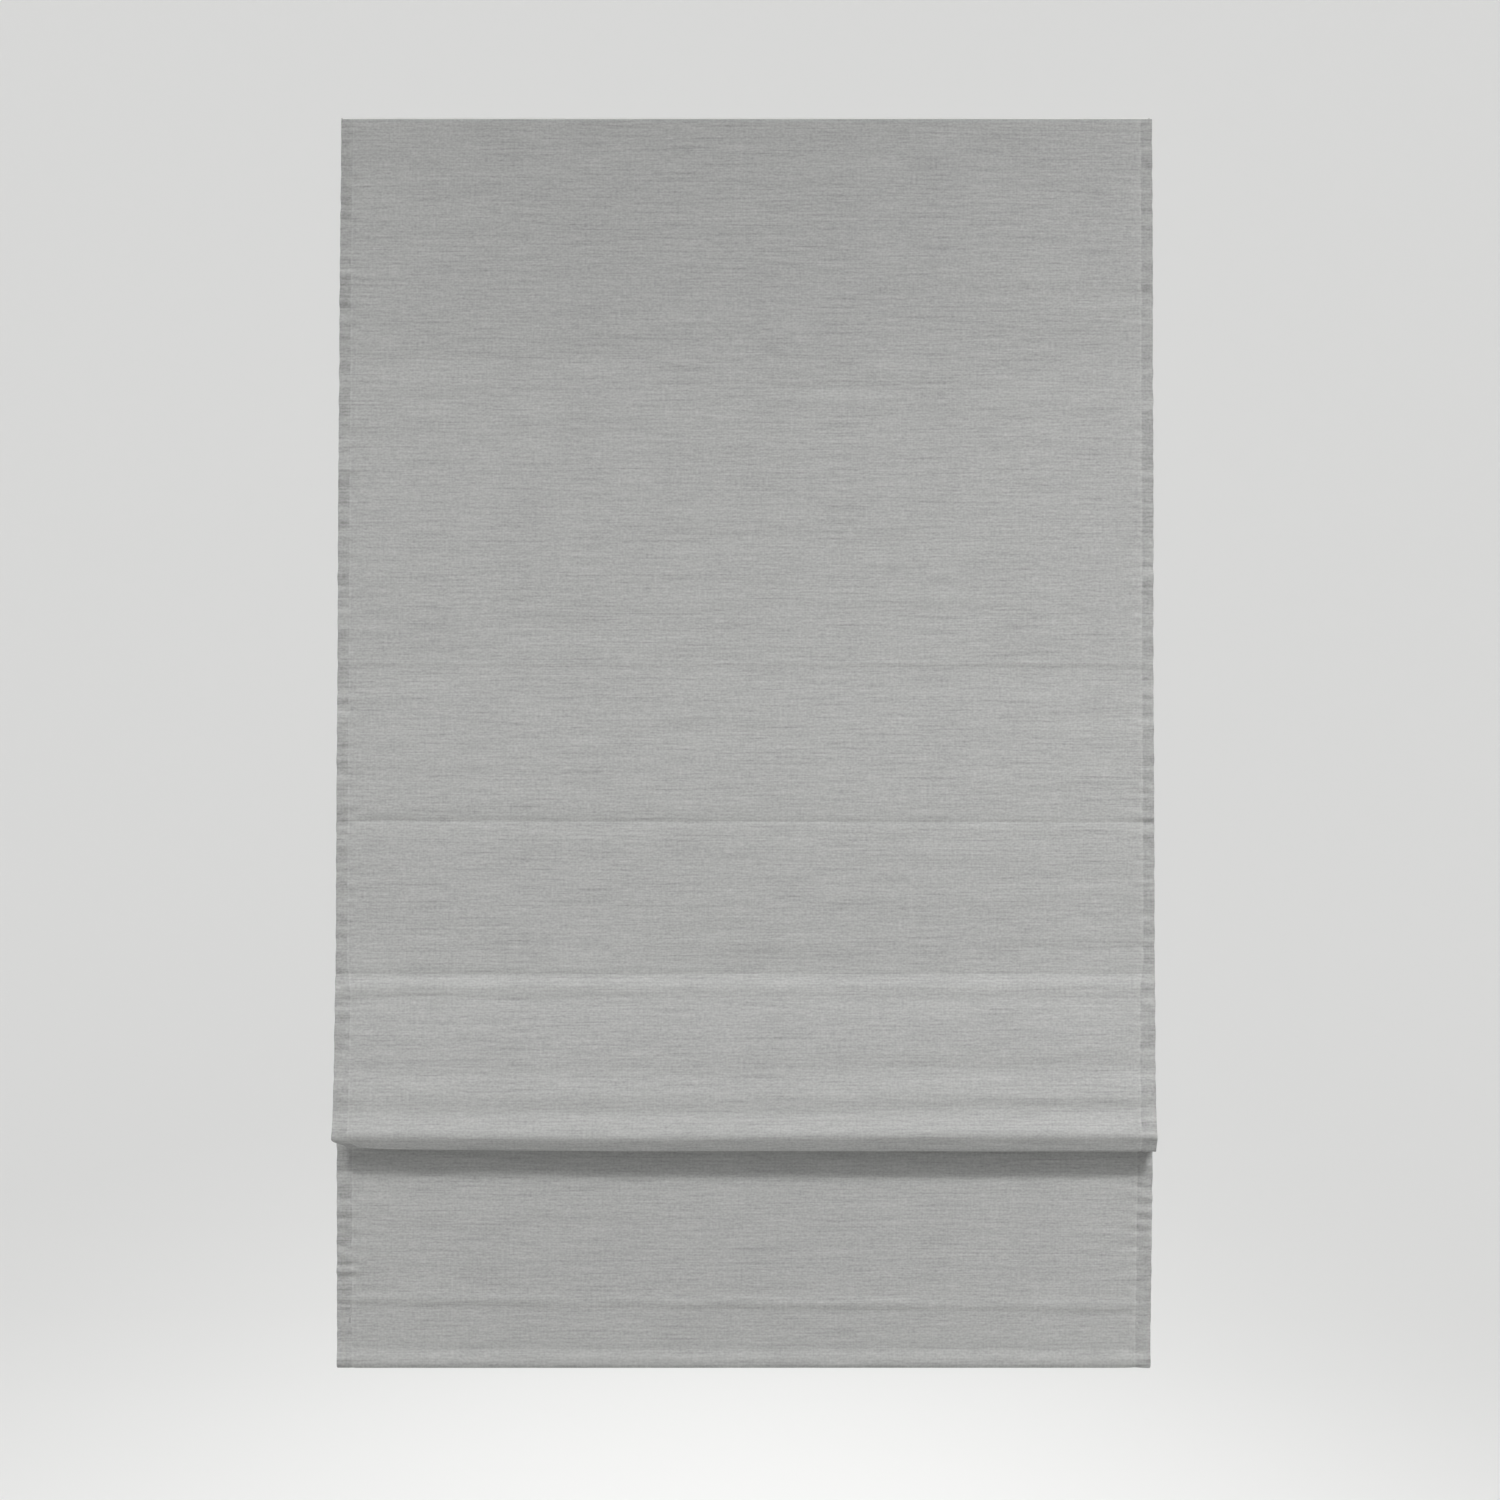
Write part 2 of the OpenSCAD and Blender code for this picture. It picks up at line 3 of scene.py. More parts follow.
import bpy
import numpy as np
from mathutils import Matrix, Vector


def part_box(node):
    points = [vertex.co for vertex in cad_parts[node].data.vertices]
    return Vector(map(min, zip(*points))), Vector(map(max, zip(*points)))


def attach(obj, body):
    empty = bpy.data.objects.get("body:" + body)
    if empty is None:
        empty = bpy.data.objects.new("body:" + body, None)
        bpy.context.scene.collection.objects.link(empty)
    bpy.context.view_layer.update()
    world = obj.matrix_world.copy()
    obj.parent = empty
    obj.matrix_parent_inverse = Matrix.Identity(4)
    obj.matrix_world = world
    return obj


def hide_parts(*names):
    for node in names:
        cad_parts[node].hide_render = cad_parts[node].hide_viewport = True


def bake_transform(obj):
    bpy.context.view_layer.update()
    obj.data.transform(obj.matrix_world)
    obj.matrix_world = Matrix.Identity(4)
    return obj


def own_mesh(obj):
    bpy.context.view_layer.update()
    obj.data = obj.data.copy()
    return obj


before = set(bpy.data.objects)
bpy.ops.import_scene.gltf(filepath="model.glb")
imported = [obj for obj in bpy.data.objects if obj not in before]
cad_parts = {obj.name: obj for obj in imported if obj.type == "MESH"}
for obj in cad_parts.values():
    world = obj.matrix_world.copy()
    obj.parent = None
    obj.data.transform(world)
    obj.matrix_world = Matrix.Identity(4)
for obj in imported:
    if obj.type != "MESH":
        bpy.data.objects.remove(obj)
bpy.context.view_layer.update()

bl_info = {
    "name": "Roman blind looks",
    "version": (1, 0, 0),
    "blender": (4, 5, 0),
    "location": "View3D > Sidebar > Blind",
    "description": "Hangs the cloth of a roman blind on its frame and finishes every surface",
    "category": "Object",
}

# Where the frame holds the cloth, in metres
top_low, top_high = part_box("fabric_top_section")
second_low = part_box("fabric_second_section")[0]
third_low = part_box("fabric_third_section")[0]
panel_low, panel_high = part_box("fabric_bottom_panel")

CLOTH_WIDTH = top_high[0] - top_low[0]
CLOTH_TOP = top_high[2]
RIB_Z = (top_low[2], second_low[2], third_low[2], panel_high[2])
CLOTH_BOTTOM = panel_low[2]
CAD_CLOTH = 0.001
CLOTH_Y = top_low[1] + CAD_CLOTH / 2
HEM_BACK = panel_high[1] - CAD_CLOTH / 2

# Which finish each part of the frame takes
FINISH_OF = {
    "rail": ("headrail",),
    "cap": ("end_cap_left", "end_cap_right", "bar_cap_left", "bar_cap_right"),
    "moulding": (
        "cord_spool_left", "cord_spool_centre", "cord_spool_right",
        "spool_cradle_left", "spool_cradle_centre", "spool_cradle_right",
        "motor_housing", "motor_cover", "output_drum", "storage_drum",
    ),
    "ring": ("rib_rings_1", "rib_rings_2", "rib_rings_3", "rib_rings_4"),
    "rod": ("rib_rod_1", "rib_rod_2", "rib_rod_3", "rib_rod_4"),
    "bracket": ("bracket_left", "bracket_right"),
    "shaft": ("lift_shaft",),
    "spring": ("spring_band",),
    "bar": ("bottom_bar",),
    "tape": (
        "hook_tape", "loop_tape",
        "rib_pocket_1", "rib_pocket_2", "rib_pocket_3", "rib_pocket_4",
    ),
}


def length(name, description, default):
    return bpy.props.FloatProperty(name=name, description=description, default=default, unit="LENGTH", precision=5)


def angle(name, description, degrees):
    return bpy.props.FloatProperty(name=name, description=description, default=radians(degrees), subtype="ANGLE")


def colour(name, description, default):
    return bpy.props.FloatVectorProperty(
        name=name, description=description, default=default, subtype="COLOR", size=3, min=0, max=1
    )


def share(name, description, default):
    return bpy.props.FloatProperty(name=name, description=description, default=default, subtype="FACTOR", min=0, max=1)


class ClothSettings(bpy.types.PropertyGroup):
    thickness: length("Cloth thickness", "Thickness of one layer of cloth", 0.0008)
    side_hem: length("Side hem", "Width of cloth turned in at each side", 0.015)
    hem_turn: length("Hem turn", "Radius of the turn at the side hems", 0.00045)
    row_step: length("Row step", "Distance between rows of the cloth mesh", 0.0026)
    column_step: length("Column step", "Distance between columns of the cloth mesh", 0.006)
    fold_reach: length("Fold reach", "How far the front of the fold stands out", 0.034)
    nose_radius: length("Front edge", "Radius of the lower front edge of the fold", 0.009)
    nose_slope: angle("Underside slope", "Slope of the underside behind the front edge", 60)
    nose_length: length("Underside", "Length of the sloping underside", 0.012)
    lower_radius: length("Lower turn", "Radius of the turn at the bottom of the fold", 0.005)
    fold_rise: angle("Underside rise", "Rise of the underside behind the bottom of the fold", 40)
    back_radius: length("Back turn", "Radius where the underside turns up behind", 0.014)
    upper_radius: length("Upper turn", "Radius of the turn over the lowest rib", 0.0009)
    rib_lead: length("Rib lead", "Flat cloth above the lowest rib", 0.0065)
    fold_cloth: length("Fold cloth", "Cloth that the fold takes up between its two ribs", 0.344)
    bottom_hem: length("Bottom hem", "Height of the bottom hem", 0.073)
    bar_rise: length("Bar height", "Height of the bar's top edge above the bottom edge", 0.0242)
    belly: length("Belly", "How far the cloth stands forward midway between two ribs", 0.0024)
    sway: length("Sway", "Height of the broad waves in the hanging cloth", 0.0009)
    ripple: length("Ripple", "Height of the soft ripples that run across the cloth", 0.00025)
    pucker: length("Pucker", "Height of the small puckers along the hems", 0.0009)


class FinishSettings(bpy.types.PropertyGroup):
    cloth: colour("Cloth", "Colour of the woven cloth", (0.405, 0.405, 0.396))
    weave: share("Weave", "How much the threads change the tone of the cloth", 0.26)
    slub: share("Slubs", "How much the few thick threads darken the cloth", 0.08)
    hem_widens: length("Wide hem", "Distance along the cloth from which the side hems are wider", 0.915)
    tape: colour("Tape", "Colour of the sewn tapes", (0.78, 0.78, 0.75))
    rail: colour("Headrail", "Colour of the coated headrail", (0.86, 0.86, 0.84))
    cap: colour("Caps", "Colour of the end caps", (0.60, 0.60, 0.58))
    moulding: colour("Mouldings", "Colour of the moulded lift parts", (0.80, 0.80, 0.78))
    ring: colour("Rings", "Colour of the cord rings", (0.88, 0.88, 0.86))
    rod: colour("Rods", "Colour of the rib rods", (0.86, 0.86, 0.84))
    bracket: colour("Brackets", "Colour of the plated clips", (0.56, 0.57, 0.58))
    shaft: colour("Shaft", "Colour of the steel shaft", (0.56, 0.57, 0.58))
    spring: colour("Spring", "Colour of the tempered spring band", (0.34, 0.35, 0.38))
    bar: colour("Bar", "Colour of the bottom bar", (0.80, 0.80, 0.78))


class StageSettings(bpy.types.PropertyGroup):
    paper: colour("Paper", "Colour of the floor and the backdrop", (0.84, 0.84, 0.83))
    floor_z: length("Floor", "Height of the floor", -2.1)
    camera_away: length("Camera distance", "Distance of the camera from the cloth", 3.0)
    camera_x: length("Camera side", "Place of the camera across the blind", 0.005)
    camera_z: length("Camera height", "Height of the camera", -0.691)
    frame_width: length("Frame width", "Width of the picture at the cloth", 1.6362)


# Cloth

def arc(y, z, r, start, stop, count=48):
    """Points along an arc across the blind, as rows of y and z."""
    a = np.linspace(start, stop, count)
    return np.column_stack((y + r * np.cos(a), z + r * np.sin(a)))


# Outward slant of the front of the fold in degrees, at shares of its drop from the rib to the lower front edge
FRONT_SLANTS = (
    (0, 0), (0.015, 20), (0.06, 20), (0.09, 7.5), (0.24, 7.5), (0.42, 6), (0.55, 4), (0.60, 4), (0.64, 11),
    (0.67, 15), (0.72, 15), (0.75, 12), (0.785, 4), (0.82, 2), (0.845, 6), (0.87, 17), (0.90, 28),
    (0.955, 29), (0.98, 18), (1, 0),
)

# Heights of the marks in the hanging cloth
STORAGE_CREASE_Z = -0.7692
FOLD_CREASE_Z = -0.9605
UPPER_HOLLOW_Z = -1.0358
LOWER_HOLLOW_Z = -1.0770
STITCH_Z = -1.2998
# Slanting pulls at the left hem of the bottom panel: height at the edge, slope and depth
LEFT_PULLS = ((-1.1760, 0.10, 0.0006), (-1.2110, 0.16, 0.0007), (-1.2330, 0.22, 0.0005))
FLAT_SECTIONS = (("top", "rib_1"), ("rib_1", "rib_2"), ("rib_2", "rib_3"))


def front_of_fold(rib_z, nose_z, reach):
    """The front of the fold from the rib down to its lower front edge, as rows of y and z."""
    drop = np.linspace(0, 1, 400)
    slope = np.tan(np.radians(np.interp(drop, *np.array(FRONT_SLANTS).T)))
    out = np.concatenate(([0], np.cumsum((slope[1:] + slope[:-1]) / 2)))
    return np.column_stack((CLOTH_Y - reach * out / out[-1], rib_z + drop * (nose_z - rib_z)))


def run_along(points):
    """The distance along a line of points, at each point."""
    return np.concatenate(([0], np.cumsum(np.hypot(*np.diff(points, axis=0).T))))


class HangingLine:
    """The line that the middle of the cloth follows from its top edge down through the fold and the bottom hem."""

    def __init__(self, s):
        rise, slope = s.fold_rise, s.nose_slope
        turn = pi / 2 - slope
        nose_y = (
            s.nose_radius * (1 - np.cos(turn)) + s.nose_length * np.cos(slope) + s.lower_radius * np.sin(slope)
        )
        nose_drop = s.nose_radius * np.sin(turn) + s.nose_length * np.sin(slope) - s.lower_radius * np.cos(slope)
        under_l = (
            s.fold_reach - 2 * s.upper_radius - nose_y - s.lower_radius * np.sin(rise)
            - s.back_radius * (1 - np.sin(rise))
        ) / np.cos(rise)
        under_rise = (s.back_radius - s.lower_radius) * np.cos(rise) + under_l * np.sin(rise) - nose_drop
        turns_l = (
            s.nose_radius * turn + s.lower_radius * (slope + rise) + s.back_radius * (pi / 2 - rise)
            + s.upper_radius * pi
        )
        # The lower front edge lies where the cloth between the two ribs is used up
        upper_z = RIB_Z[3] + s.rib_lead
        nose_z = RIB_Z[2] - 0.16
        for _ in range(20):
            front_l = run_along(front_of_fold(RIB_Z[2], nose_z, s.fold_reach))[-1]
            leg_l = upper_z - nose_z - under_rise
            used = front_l + turns_l + s.nose_length + under_l + leg_l + s.rib_lead
            nose_z -= (s.fold_cloth - used) / 2
        leg_z = nose_z + under_rise
        front_y = CLOTH_Y - s.fold_reach
        leg_y = CLOTH_Y - 2 * s.upper_radius
        hem_r = (HEM_BACK - CLOTH_Y) / 2
        hem_z = CLOTH_BOTTOM + hem_r + CAD_CLOTH / 2
        hem_layer = CLOTH_Y + 1.2 * CAD_CLOTH
        bar_top = CLOTH_BOTTOM + s.bar_rise + 0.008
        runs = (
            ("top", [[CLOTH_Y, CLOTH_TOP]]),
            ("rib_1", [[CLOTH_Y, RIB_Z[0]]]),
            ("rib_2", [[CLOTH_Y, RIB_Z[1]]]),
            ("rib_3", [[CLOTH_Y, RIB_Z[2]]]),
            ("edge", front_of_fold(RIB_Z[2], nose_z, s.fold_reach)[1:]),
            ("nose", arc(front_y + s.nose_radius, nose_z, s.nose_radius, pi, pi + turn)[1:]),
            ("bottom", arc(front_y + nose_y, nose_z - nose_drop, s.lower_radius, pi + turn, 1.5 * pi)),
            ("under", arc(front_y + nose_y, nose_z - nose_drop, s.lower_radius, 1.5 * pi, 1.5 * pi + rise)[1:]),
            ("leg", arc(leg_y - s.back_radius, leg_z, s.back_radius, rise - pi / 2, 0)),
            ("leg_top", [[leg_y, upper_z]]),
            ("over", arc(CLOTH_Y - s.upper_radius, upper_z, s.upper_radius, pi, 0)[1:]),
            ("rib_4", [[CLOTH_Y, RIB_Z[3]]]),
            ("hem", arc(CLOTH_Y + hem_r, hem_z, hem_r, pi, 2 * pi)),
            ("bar_back", [[CLOTH_Y + 2 * hem_r, bar_top]]),
            ("hem_lean", [[hem_layer, bar_top + 4 * hem_r]]),
            ("end", [[hem_layer, CLOTH_BOTTOM + s.bottom_hem]]),
        )
        self.points = np.vstack([np.asarray(run, float) for _, run in runs])
        self.run = run_along(self.points)
        self.mark, at = {}, 0
        for name, run in runs:
            at += len(run)
            self.mark[name] = self.run[at - 1]

    def place(self, v):
        """y and z at the distance v along the cloth."""
        return np.interp(v, self.run, self.points[:, 0]), np.interp(v, self.run, self.points[:, 1])

    def facing(self, v):
        """The direction that the face of the cloth looks in, as y and z."""
        near, far = np.clip(v - 4e-4, 0, self.run[-1]), np.clip(v + 4e-4, 0, self.run[-1])
        (y0, z0), (y1, z1) = self.place(near), self.place(far)
        size = np.hypot(y1 - y0, z1 - z0)
        return (z1 - z0) / size, -(y1 - y0) / size

    def down(self, z, start, stop):
        """The distance along the cloth at which it passes the height z, between two marks."""
        v = np.linspace(self.mark[start], self.mark[stop], 4000)
        return np.interp(-z, -self.place(v)[1], v)


def waves(seed, count, short, long, spread=1.0):
    """Seeded waves, in all directions or near to down the cloth: wave numbers across and along, phase and weight."""
    rng = np.random.default_rng(seed)
    size = 1 / (short * (long / short) ** rng.random(count))
    turn = pi / 2 + spread * (rng.random(count) - 0.5) * pi
    return np.column_stack((
        2 * pi * size * np.cos(turn), 2 * pi * size * np.sin(turn),
        rng.random(count) * 2 * pi, (1 / size) / (1 / size).max(),
    ))


def rippled(table, u, v):
    """The sum of waves at the points u, v, from about -1 to 1."""
    total = sum(w * np.sin(a * u + b * v + p) for a, b, p, w in table)
    return total / np.sqrt((table[:, 3] ** 2).sum()) / 1.4


BROAD = waves(3, 14, 0.16, 0.75)
PUCKER = waves(11, 16, 0.009, 0.024, 0.25)
RIPPLE = waves(23, 10, 0.022, 0.060, 0.06)
LINE = waves(19, 9, 0.03, 0.25)


def hump(d, w):
    return np.exp(-(d / w) ** 2)


def valley(d, above, below=None, sharp=0.0006):
    """A crease that is sharp in its middle: 1 there, falling off with the distance d above and below."""
    w = np.where(d < 0, above, below or above)
    return np.exp(-(np.sqrt(d * d + sharp * sharp) - sharp) / w)


def step(x, low, high):
    t = np.clip((x - low) / (high - low), 0, 1)
    return t * t * (3 - 2 * t)


def window(x, low, high, fade):
    """1 between two limits, fading to 0 outside them."""
    return step(x, low - fade, low) * (1 - step(x, high, high + fade))


def drape(line, s, u, v):
    """How far the cloth stands forward of its line at u across and v along, in metres."""
    half = CLOTH_WIDTH / 2
    edge = half - np.abs(u)
    left = step(-u, -0.1, 0.4)
    right = step(u, -0.1, 0.4)
    mark = line.mark
    stitch = line.down(STITCH_Z, "rib_4", "hem") + 0.0044 * u / half
    panel = step(v, mark["rib_4"], mark["rib_4"] + 0.03)
    held = np.ones_like(v)
    for name in ("rib_1", "rib_2", "rib_3", "rib_4"):
        held *= 1 - window(v, mark[name] - 0.007, mark[name] + 0.007, 0.03)
    for low, high in ((0.0, 0.03), (mark["edge"] - 0.05, mark["rib_4"]), (stitch - 0.004, line.run[-1])):
        held *= 1 - window(v, low, high, 0.03)

    d = s.sway * rippled(BROAD, u, 0.6 * v) * held
    # Each flat section bellies a little forward, so that it clears the pocket below it when it is drawn up
    for start, stop in FLAT_SECTIONS:
        along = (v - mark[start]) / (mark[stop] - mark[start])
        d = d + s.belly * np.sin(pi * np.clip(along, 0, 1))
    # Side hems: puckers that run in from the edge, and the line where the hem is caught down
    on_hem = 1 - step(edge, s.side_hem, 1.8 * s.side_hem)
    d = d + s.pucker * rippled(PUCKER, u, v) * np.maximum(held, 0.5) * (
        on_hem * (0.6 + 0.6 * panel) + 0.25 * hump(edge, 0.05) * panel
    )
    wide = step(v, mark["rib_3"] - 0.02, mark["rib_3"] + 0.02)
    d = d - 0.0005 * valley(edge - s.side_hem * (0.80 + 0.27 * wide), 0.0012, sharp=0.0004)
    # Soft ripples across the whole cloth, and slanting pulls that start at the left hem of the bottom panel
    d = d + s.ripple * rippled(RIPPLE, u, v) * np.maximum(held, 0.4)
    for start, slope, depth in LEFT_PULLS:
        pull = line.down(start, "rib_4", "hem") - slope * (u + half)
        d = d - depth * valley(v - pull, 0.005, 0.009) * np.exp(-(u + half) / 0.07) * panel

    # The seam of the second rib shows as a thin line, clearer on the right
    d = d + 0.0009 * (0.5 + 0.5 * right) * valley(v - mark["rib_2"] + 0.003, 0.010, 0.0028)
    # Storage crease in the third section, a little lower on the right
    crease = line.down(STORAGE_CREASE_Z, "rib_2", "rib_3") + 0.0008 * u / half + 0.0004 * rippled(LINE, u, 0 * v)
    d = d - 0.0013 * valley(v - crease, 0.0045, 0.007)
    # A seam at the rib that the fold hangs from, with a low swell and a wavy crease below it
    d = d + 0.0007 * (0.4 + 0.6 * left) * valley(v - mark["rib_3"] + 0.005, 0.009, 0.004, sharp=0.001)
    d = d + 0.0005 * (0.4 + 0.6 * left) * hump(v - mark["rib_3"] - 0.016, 0.007)
    crease = line.down(FOLD_CREASE_Z, "rib_3", "edge") + (0.0012 + 0.0018 * left) * rippled(LINE, u, 0 * v + 0.3)
    d = d - 0.0009 * (0.35 + 0.65 * left) * valley(v - crease, 0.0030, 0.009)
    # Two hollows across the front of the fold, deeper on the right
    hollow = line.down(UPPER_HOLLOW_Z, "rib_3", "edge") + 0.0010 * rippled(LINE, u, 0 * v + 0.7)
    d = d - 0.0014 * (0.25 + 0.75 * right) * valley(v - hollow, 0.018, 0.006, sharp=0.003)
    hollow = line.down(LOWER_HOLLOW_Z, "rib_3", "edge") + 0.0010 * rippled(LINE, u, 0 * v + 1.9)
    d = d - 0.0009 * right * hump(v - hollow, 0.006)
    # Bottom hem: a stitched groove that runs a little downhill to the right, and the bar's ridge
    panel = panel * (1 - step(v, mark["hem"] - 0.012, mark["hem"] - 0.004))
    uneven = 0.75 + 0.45 * rippled(LINE, u, 0 * v + 1.1)
    d = d + panel * uneven * (0.0019 * hump(v - stitch + 0.006, 0.007) - 0.0007 * valley(v - stitch, 0.003, 0.006))
    ridge = line.down(CLOTH_BOTTOM + s.bar_rise - 0.003, "rib_4", "hem")
    d = d + panel * (0.0033 * step(v, ridge, ridge + 0.014) - 0.0004 * hump(v - ridge, 0.005))
    return d


def wander(line, s, u, v):
    """How far the cloth lies across and above its even place, in metres."""
    half = CLOTH_WIDTH / 2
    mark = line.mark
    at = [0, 0.2, mark["rib_2"], mark["rib_3"], mark["edge"], mark["rib_4"], mark["hem"]]
    left = np.interp(v, at, [-0.0045, -0.0023, 0, 0.0021, 0.0017, 0.0010, 0.0005])
    right = np.interp(v, at, [-0.0015, -0.0006, 0.0001, 0.0017, -0.0004, 0.0009, -0.0035])
    out = step(np.abs(u) / half, 0.55, 1.0) * np.where(u < 0, -left, right)
    out = out + np.sign(u) * step(np.abs(u) / half, 0.8, 1.0) * 0.0003 * rippled(PUCKER, 0 * u, 0.6 * v)
    # The lower edge of the fold sits a little unevenly, and its left end is tucked in
    front = window(v, mark["edge"], mark["nose"], 0.02)
    lower = step(v, mark["nose"], mark["bottom"]) * (1 - step(v, mark["under"], mark["leg_top"]))
    rise = front * np.interp(u, [-half, -0.14, 0.2, half], [0.0010, -0.0010, 0.0012, 0.0012])
    rise = rise + lower * np.interp(u, [-half, -0.385, -0.14, half], [0.0050, 0.0022, 0, -0.0003])
    out = out + lower * 0.014 * hump(u + half, 0.03)
    return out, rise


def across_hem(s, across):
    """Where the cloth lies at the distance across: x and how far behind its face layer it is turned."""
    flat = CLOTH_WIDTH / 2 - s.hem_turn
    size, side = np.abs(across), np.sign(across)
    turn = np.clip((size - flat) / s.hem_turn, 0, pi)
    inward = np.maximum(size - flat - pi * s.hem_turn, 0)
    x = side * (np.minimum(size, flat) + s.hem_turn * np.sin(turn) - inward)
    return x, -s.hem_turn * (1 - np.cos(turn))


def columns(s):
    """Distances across the cloth at which its mesh has columns, the turned hems included."""
    flat = CLOTH_WIDTH / 2 - s.hem_turn
    fine = flat - 0.024
    end = flat + pi * s.hem_turn + s.side_hem - s.hem_turn
    half = np.concatenate((
        np.linspace(0, fine, int(fine / s.column_step) + 1)[1:],
        np.linspace(fine, flat, 11)[1:],
        np.linspace(flat, flat + pi * s.hem_turn, 6)[1:],
        np.linspace(flat + pi * s.hem_turn, end, 6)[1:],
    ))
    return np.concatenate((-half[::-1], [0], half))


def rows(line, s, start, stop):
    """Distances along the cloth at which its mesh has rows, close together at creases and turns."""
    spots = [
        (line.mark["rib_2"], 0.010, 0.0008), (line.down(STORAGE_CREASE_Z, "rib_2", "rib_3"), 0.014, 0.0009),
        (line.down(FOLD_CREASE_Z, "rib_3", "edge"), 0.014, 0.0010), (line.mark["edge"] - 0.030, 0.040, 0.0014),
        (line.mark["edge"] + 0.004, 0.006, 0.0007), (line.mark["bottom"], 0.010, 0.0010),
        (line.mark["over"], 0.0060, 0.0004), (line.down(STITCH_Z, "rib_4", "hem"), 0.014, 0.0011),
        (line.down(CLOTH_BOTTOM + s.bar_rise, "rib_4", "hem"), 0.008, 0.0008),
        (line.mark["hem"] - 0.005, 0.007, 0.0006),
    ]
    out, at = [start], start
    while True:
        gap = min([s.row_step] + [fine for mid, reach, fine in spots if abs(at - mid) < reach])
        at += gap
        if at > stop - 0.4 * gap:
            break
        out.append(at)
    return np.array(out + [stop])


def select_only(obj):
    bpy.ops.object.select_all(action="DESELECT")
    obj.select_set(True)
    bpy.context.view_layer.objects.active = obj


def finish_modifier(obj, kind, **values):
    """Adds a modifier with these values and applies it."""
    select_only(obj)
    made = obj.modifiers.new(kind.title(), kind)
    for name, value in values.items():
        setattr(made, name, value)
    bpy.ops.object.modifier_apply(modifier=made.name)


def hang(line, s, name, start, stop):
    """One length of cloth: a grid laid along the hanging line between two distances, draped and given its thickness."""
    across, along = columns(s), rows(line, s, start, stop)
    bpy.ops.object.select_all(action="DESELECT")
    bpy.ops.mesh.primitive_grid_add(x_subdivisions=len(across) - 1, y_subdivisions=len(along) - 1, size=2)
    obj = bpy.context.object
    obj.name = obj.data.name = name
    mesh = obj.data
    flat = np.empty(3 * len(mesh.vertices))
    mesh.vertices.foreach_get("co", flat)
    flat = flat.reshape(-1, 3)
    column = np.rint((flat[:, 0] + 1) / 2 * (len(across) - 1)).astype(int)
    row = np.rint((1 - flat[:, 1]) / 2 * (len(along) - 1)).astype(int)
    if len(flat) != len(across) * len(along):
        raise RuntimeError(f"{name}: the grid has {len(flat)} points")
    u, v = across[column], along[row]
    x, behind = across_hem(s, u)
    y, z = line.place(v)
    face_y, face_z = line.facing(v)
    forward = drape(line, s, x, v) + behind
    out, rise = wander(line, s, x, v)
    place = np.column_stack((x + out, y + forward * face_y, z + forward * face_z + rise))
    mesh.vertices.foreach_set("co", place.ravel())
    loops = np.empty(len(mesh.loops), int)
    mesh.loops.foreach_get("vertex_index", loops)
    mesh.uv_layers[0].name = "cloth"
    mesh.uv_layers[0].data.foreach_set("uv", np.column_stack((u, v))[loops].ravel())
    mesh.update()
    finish_modifier(obj, "SOLIDIFY", thickness=s.thickness, offset=0.0, use_even_offset=True)
    select_only(obj)
    bpy.ops.object.shade_smooth_by_angle(angle=radians(50))
    mesh = obj.data
    mesh.materials.clear()
    mesh.materials.append(cloth_finish())
    return obj


# Finishes

def node_maker(tree):
    """A function that adds a node to the tree, with its values set and its inputs linked."""
    def node(kind, inputs=None, **values):
        one = tree.nodes.new(kind)
        for key, value in values.items():
            setattr(one, key, value)
        for key, value in (inputs or {}).items():
            if isinstance(value, bpy.types.NodeSocket):
                tree.links.new(value, one.inputs[key])
            else:
                one.inputs[key].default_value = value
        return one

    return node


def new_finish(name):
    """A fresh node material: the material, its tree, its shader and a maker of linked nodes."""
    made = bpy.data.materials.new(name)
    made.use_nodes = True
    tree = made.node_tree
    return made, tree, tree.nodes["Principled BSDF"], node_maker(tree)


def math_of(node, operation, a, b=0.0):
    return node("ShaderNodeMath", {0: a, 1: b}, operation=operation).outputs[0]


def mixed_colour(node, factor, low, high):
    """A colour between two, by the factor."""
    return node("ShaderNodeMix", {0: factor, 6: (*low, 1), 7: (*high, 1)}, data_type="RGBA").outputs[2]


def seen_directly(node):
    """1 for the camera and for rays that a shiny or clear surface sends on, 0 for diffuse light."""
    path = node("ShaderNodeLightPath").outputs
    shiny = math_of(node, "MAXIMUM", path["Is Glossy Ray"], path["Is Transmission Ray"])
    return math_of(node, "MAXIMUM", path["Is Camera Ray"], shiny)


# Side hems as they show in the cloth, with painted shade on the doubled hems and a painted highlight line where they
# end:
# distances in from the edge over which each tone sets in, and the extra width from the fold down
HEM_SHADE_STRIP = (-0.0124, -0.0114)
HEM_HIGHLIGHT_STARTS = (-0.0146, -0.0134)
HEM_HIGHLIGHT_STOPS = (-0.0128, -0.0118)
HEM_WIDER = 0.004


